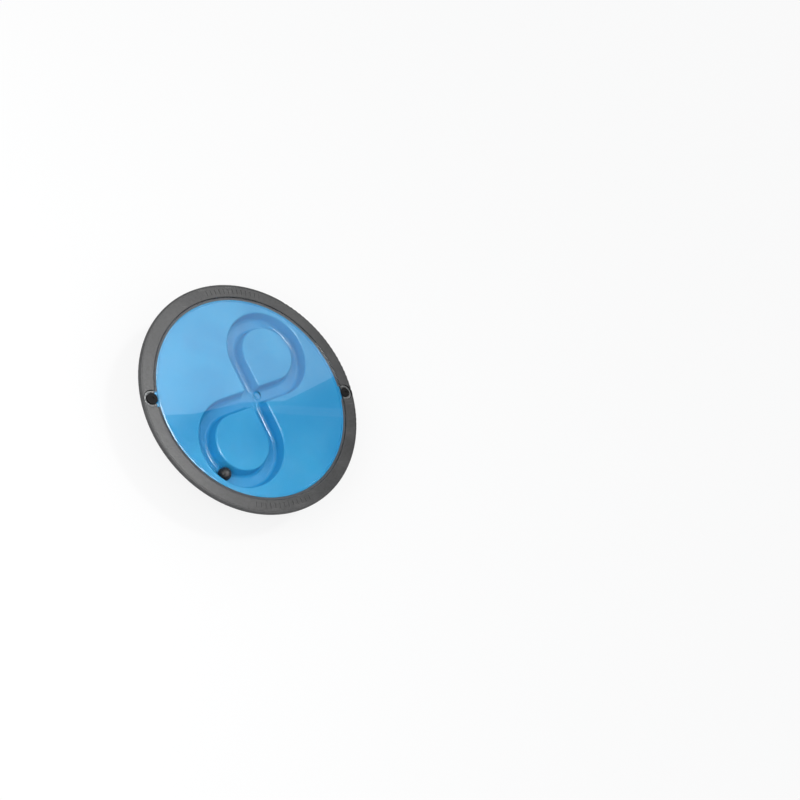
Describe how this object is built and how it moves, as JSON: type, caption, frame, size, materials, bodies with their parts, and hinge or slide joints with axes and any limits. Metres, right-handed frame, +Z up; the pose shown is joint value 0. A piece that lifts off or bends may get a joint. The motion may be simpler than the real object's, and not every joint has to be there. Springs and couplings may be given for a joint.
{
  "type": "balance board",
  "caption": "Round rocker board with a figure-eight ball track under a clear screwed-on cover, for standing balance and tilt-steering a loose ball.",
  "frame": {"origin": "on the floor, under the middle of the foot's flat spot", "axes": "+Z up through the middle of the board, +X through the two cover screws"},
  "size_m": [0.4, 0.4, 0.086],
  "materials": {
    "rim": "moulded, fine pebbled texture, slightly soft",
    "base": "moulded, fine texture",
    "dome": "moulded, fine texture",
    "grip": "matte, scuffed on the flat",
    "track": "glossy, moulded",
    "cover": "clear polycarbonate, polished",
    "gasket": "matte foam rubber",
    "ball": "satin",
    "cover_screw": "black, satin",
    "insert": "turned",
    "screw": "zinc plated"
  },
  "bodies": {
    "board": {"rocker_dome": "dome", "grip_pad": "grip", "base_shell": "base", "track_plate": "track", "rim_ring": "rim", "clear_cover": "cover", "cover_gasket": "gasket", "cover_screw_left": "cover_screw", "cover_screw_right": "cover_screw", "cover_insert_left": "insert", "cover_insert_right": "insert", "dome_screws": "screw", "dome_inserts": "insert", "track_screws": "screw", "rim_screws": "screw"},
    "ball": {"ball": "ball"}
  },
  "joints": [
    {"name": "ball_roll", "type": "hinge", "parent": "board", "child": "ball", "pos_m": [0.04358, 0.07549, 0.07], "axis": [0, 0, 1], "range_deg": [-124, 146]}
  ]
}
